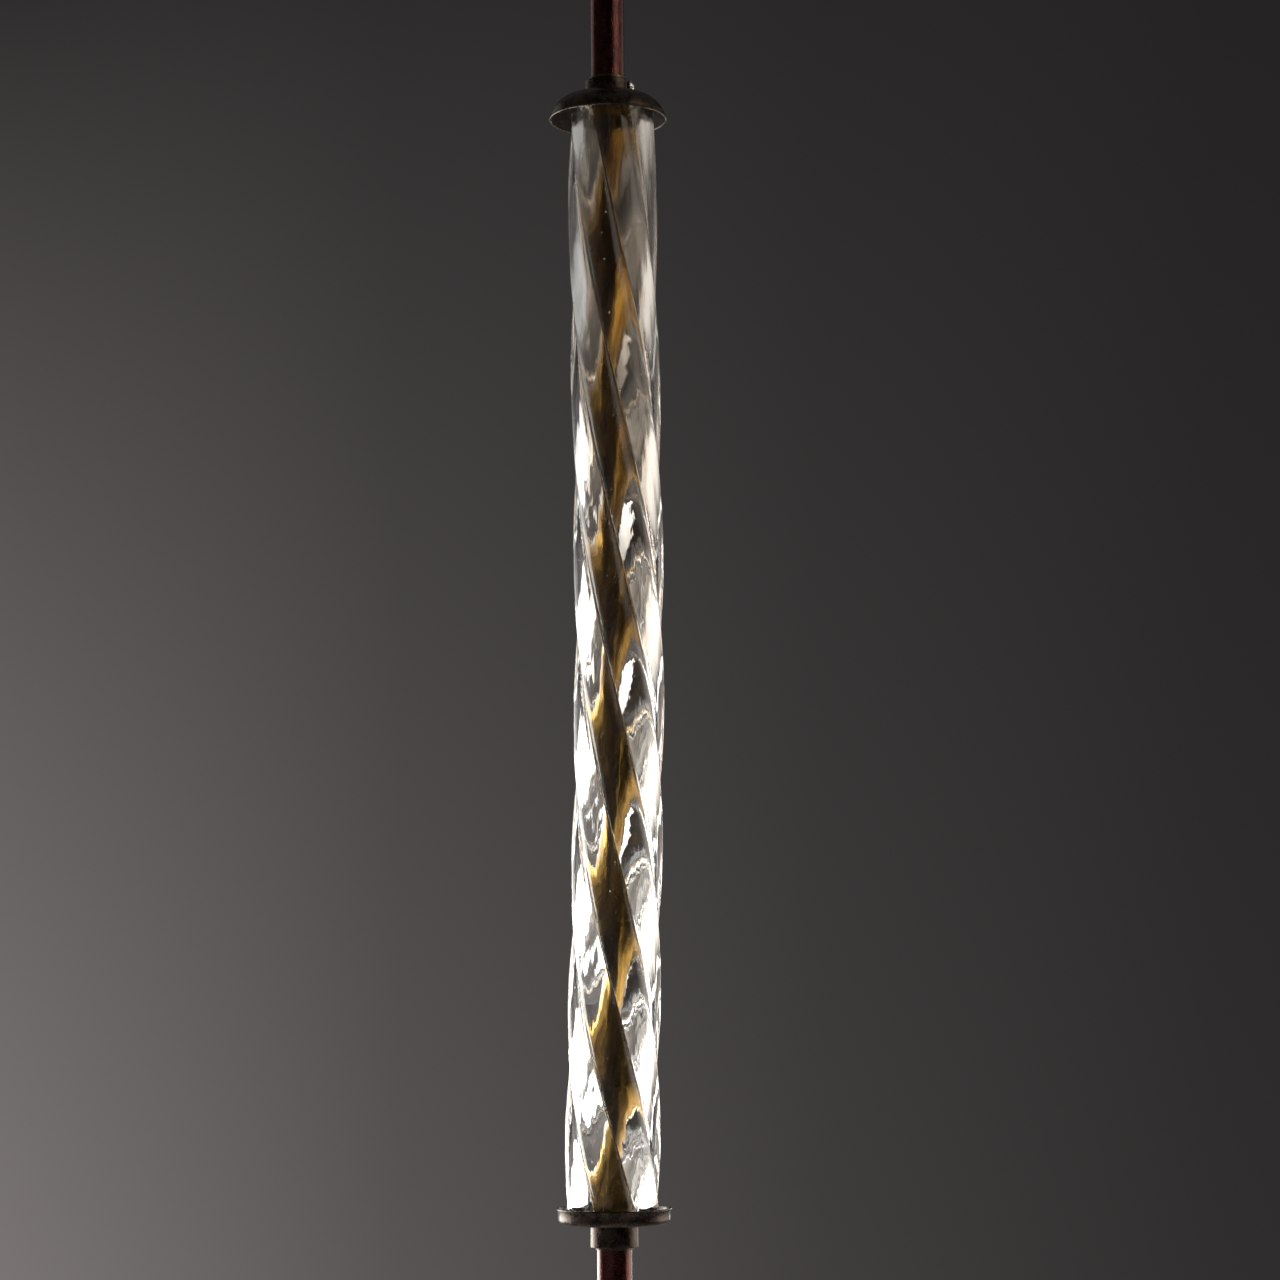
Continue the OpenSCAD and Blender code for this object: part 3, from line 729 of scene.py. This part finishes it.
def finial_ball():
    """Turned ball on a short neck under a disc, with a plug in the tube."""
    ball_r = box_radius("finial")
    ball_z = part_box("finial")[0].z + ball_r
    plug_r = POLE_R - 1.6 * MM
    plug_z = TAIL_Z + 10 * MM
    disc_r = POLE_R + 1.6 * MM
    disc_z = TAIL_Z - 3 * MM
    neck_r = 8 * MM
    fillet = 1.2 * MM
    meet = math.degrees(math.acos(neck_r / ball_r))
    disc = [(disc_r - 2 * MM, TAIL_Z), (disc_r, TAIL_Z), (disc_r, disc_z), (neck_r, disc_z)]
    corner = ROUND_STEPS + 1    # points in a rounded corner
    outline = [(0.0, plug_z), (plug_r, plug_z), (plug_r, TAIL_Z)]
    outline += rounded(disc, 0.8 * MM)[corner:3 * corner]
    outline += arc((neck_r + fillet, disc_z - fillet), fillet, 90, 180, 5)
    outline += arc((0, ball_z), ball_r, meet, -90, 40)
    piece = lathe("finial_ball", outline, "bronze", around=128, uneven=0.04 * MM, seed=4)
    return stands_for(piece, "finial")


finial_ball()


def canopy_bowl():
    """Spun canopy with a rolled edge round the pole's hole."""
    corner = 8 * MM
    bead = SHEET / 2
    outline = [(CANOPY_HOLE_R + 0.4 * MM, CANOPY_Z + SHEET)]
    outline += arc((CANOPY_HOLE_R + bead, CANOPY_Z + bead), bead, 120, 270, 6)
    outline += arc((CANOPY_R - corner, CANOPY_Z + corner), corner, -90, 0, 14)
    outline += arc((CANOPY_R - bead, -bead), bead, 0, 180, 6)
    outline += arc((CANOPY_R - corner, CANOPY_Z + corner), corner - SHEET, 0, -90, 14)
    piece = lathe("canopy_bowl", outline, "bronze", around=192, uneven=0.12 * MM, seed=9)
    return stands_for(piece, "canopy")


canopy_bowl()


# ---- Small parts ----

FINISHES = {
    "mounting_strap": "steel", "canopy_studs": "steel", "canopy_cap_nuts": "brass",
    "ground_screw": "green", "led_driver": "driver", "driver_pad": "foam",
    "wire_connectors": "connector", "driver_lead": "cable", "swivel_upper_yoke": "brass",
    "swivel_locknut": "steel", "swivel_block": "brass", "swivel_pins": "steel",
    "swivel_lower_yoke": "brass", "upper_coupling": "brass", "lower_coupling": "brass",
    "supply_cable": "cable", "glass_gasket": "silicone", "heat_spreader": "aluminium",
    "led_board": "board", "led_chips": "chip", "led_board_screws": "steel",
    "led_cover": "cover", "lower_collar_screw": "bronze", "pressure_plate": "steel",
    "cap_gasket": "silicone", "top_collar_screw": "bright",
}
FINE_NODES = ("led_chips", "led_board_screws", "driver_lead", "supply_cable")
FINE_EDGE = 0.15 * MM
PLAIN_EDGE = 0.25 * MM

for node, finish in FINISHES.items():
    edge = FINE_EDGE if node in FINE_NODES else PLAIN_EDGE
    stands_for(softened(node, finish, edge), node)


# ---- Studio ----

FLOOR_Z = -2.35
FLOOR_R = 7.0
FLOOR_GLOW = 0.10
MID_Z = (BELL_Z + DISH_Z) / 2


def studio_floor():
    """A pale floor that glows faintly, so that the glass refracts pale tones low down."""
    bm = bmesh.new()
    place = Matrix.Translation((0, 0, FLOOR_Z))
    bmesh.ops.create_circle(bm, cap_ends=True, radius=FLOOR_R, segments=96, matrix=place)
    M["floor"] = moulded(
        "pale_floor", (0.74, 0.73, 0.72), (0.70, 0.69, 0.68), 0.7, grain=20 * MM, depth=0.2 * MM
    )
    lit = M["floor"].node_tree.nodes["Principled BSDF"]
    lit.inputs["Emission Color"].default_value = (1.0, 0.985, 0.97, 1.0)
    lit.inputs["Emission Strength"].default_value = FLOOR_GLOW
    new_object("studio_floor", mesh_from(bm, "studio_floor"), "floor")


def softbox(name, azimuth, distance, spread, middle, height, strength, colour, fade_to, core):
    """A tall soft light that fades from its core to its edges, and upwards until `fade_to` (a z).

    The azimuth is in degrees from the camera's side, positive to the right. The spread is half
    of the width, in degrees seen from the pole, and the core is a share of the width.
    """
    turn = math.radians(azimuth)
    place = (distance * math.sin(turn), -distance * math.cos(turn), middle)
    width = 2 * distance * math.tan(math.radians(spread))
    bm = bmesh.new()
    bmesh.ops.create_grid(bm, x_segments=1, y_segments=1, size=0.5)
    for vert in bm.verts:
        vert.co.x *= width
        vert.co.y *= height
    n = Nodes(name)
    n.tree.nodes.remove(n.shader)
    lamp = n.add("ShaderNodeEmission")
    lamp.inputs["Color"].default_value = (*colour, 1.0)
    parts = n.add("ShaderNodeSeparateXYZ")
    n.link(n.place, parts.inputs[0])
    across, up = parts.outputs[0], parts.outputs[1]
    left = n.ramp(across, -0.5 * width, -core * width)
    right = n.ramp(across, 0.5 * width, core * width)
    foot = n.ramp(up, -0.5 * height, -0.35 * height)
    head = n.ramp(up, DISH_Z - middle, fade_to - middle, 1, 0.05)
    glow = n.times(n.times(left, right), n.times(foot, head))
    n.link(n.times(glow, strength), lamp.inputs["Strength"])
    n.link(lamp.outputs[0], n.tree.nodes["Material Output"].inputs["Surface"])
    M[name] = n.material
    card = new_object(name, mesh_from(bm, name), name)
    to_pole = Vector((-place[0], -place[1], 0.0))
    facing = to_pole.to_track_quat("Z", "Y").to_matrix().to_4x4()
    card.matrix_world = Matrix.Translation(place) @ facing
    card.visible_camera = False
    card.visible_shadow = False


ROOM_STOPS = (
    (0.0, 0.159), (0.12, 0.129), (0.34, 0.074), (0.62, 0.0413), (0.87, 0.0260), (1.0, 0.0225)
)   # brightness from left to right
ROOM_TINT = (0.915, 0.905)   # green and blue, as shares of red


def surroundings():
    """A dim room, lighter on the left and low down, with a faint glow overhead."""
    world = bpy.data.worlds.new("room")
    bpy.context.scene.world = world
    world.use_nodes = True
    tree = world.node_tree

    def span(source, low, high, out_low=0.0, out_high=1.0):
        """Goes evenly from out_low to out_high while the source goes from low to high."""
        node = tree.nodes.new("ShaderNodeMapRange")
        for socket, value in zip(node.inputs[1:5], (low, high, out_low, out_high)):
            socket.default_value = value
        tree.links.new(source, node.inputs[0])
        return node.outputs[0]

    def product(a, b, plus=None):
        node = tree.nodes.new("ShaderNodeMath")
        node.operation = "MULTIPLY" if plus is None else "MULTIPLY_ADD"
        node.inputs[2].default_value = plus or 0.0
        tree.links.new(a, node.inputs[0])
        tree.links.new(b, node.inputs[1])
        return node.outputs[0]

    coord = tree.nodes.new("ShaderNodeTexCoord")
    parts = tree.nodes.new("ShaderNodeSeparateXYZ")
    tree.links.new(coord.outputs["Generated"], parts.inputs[0])
    x, y, z = parts.outputs
    shift = span(x, -0.25, 0.25)
    across = tree.nodes.new("ShaderNodeValToRGB")
    tree.links.new(shift, across.inputs[0])
    ramp = across.color_ramp
    while len(ramp.elements) < len(ROOM_STOPS):
        ramp.elements.new(0.5)
    for element, (position, value) in zip(ramp.elements, ROOM_STOPS):
        element.position = position
        element.color = (value, ROOM_TINT[0] * value, ROOM_TINT[1] * value, 1.0)

    fall = product(span(z, -0.1, 0.33, 0.42, -0.82), span(shift, 0.1, 0.9, 1.0, 0.35), plus=1.0)
    backdrop = tree.nodes["Background"]
    tree.links.new(across.outputs[0], backdrop.inputs["Color"])
    tree.links.new(product(fall, span(y, -0.2, 0.5, 0.6, 1.0)), backdrop.inputs["Strength"])
    overhead = tree.nodes.new("ShaderNodeBackground")
    overhead.inputs["Color"].default_value = (1.0, 0.97, 0.94, 1.0)
    tree.links.new(span(z, 0.5, 0.9, 0.0, 0.09), overhead.inputs["Strength"])
    both = tree.nodes.new("ShaderNodeAddShader")
    tree.links.new(backdrop.outputs[0], both.inputs[0])
    tree.links.new(overhead.outputs[0], both.inputs[1])
    tree.links.new(both.outputs[0], tree.nodes["World Output"].inputs["Surface"])


studio_floor()
surroundings()
softbox(
    "softbox_left", azimuth=-128, distance=1.31, spread=23, middle=MID_Z + 0.15, height=2.3,
    strength=7.6, colour=(1.0, 0.97, 0.935), fade_to=BELL_Z + 0.20, core=0.40,
)
softbox(
    "softbox_left_front", azimuth=-98, distance=1.31, spread=9, middle=MID_Z + 0.15, height=2.3,
    strength=0.8, colour=(1.0, 0.97, 0.94), fade_to=BELL_Z + 0.5, core=0.40,
)
softbox(
    "softbox_right", azimuth=116, distance=1.31, spread=42, middle=MID_Z + 0.15, height=2.3,
    strength=2.0, colour=(1.0, 0.90, 0.80), fade_to=BELL_Z + 0.9, core=0.02,
)
softbox(
    "softbox_right_high", azimuth=66, distance=1.31, spread=32, middle=BELL_Z + 0.6, height=1.4,
    strength=1.3, colour=(1.0, 0.86, 0.74), fade_to=BELL_Z + 4.0, core=0.1,
)
softbox(
    "softbox_back", azimuth=162, distance=4.0, spread=3.5, middle=MID_Z + 0.1, height=2.6,
    strength=4.0, colour=(1.0, 0.96, 0.93), fade_to=BELL_Z + 1.0, core=0.35,
)

scene = bpy.context.scene
scene.view_settings.view_transform = "Standard"
scene.cycles.max_bounces = 24
scene.cycles.transmission_bounces = 24
scene.cycles.glossy_bounces = 12
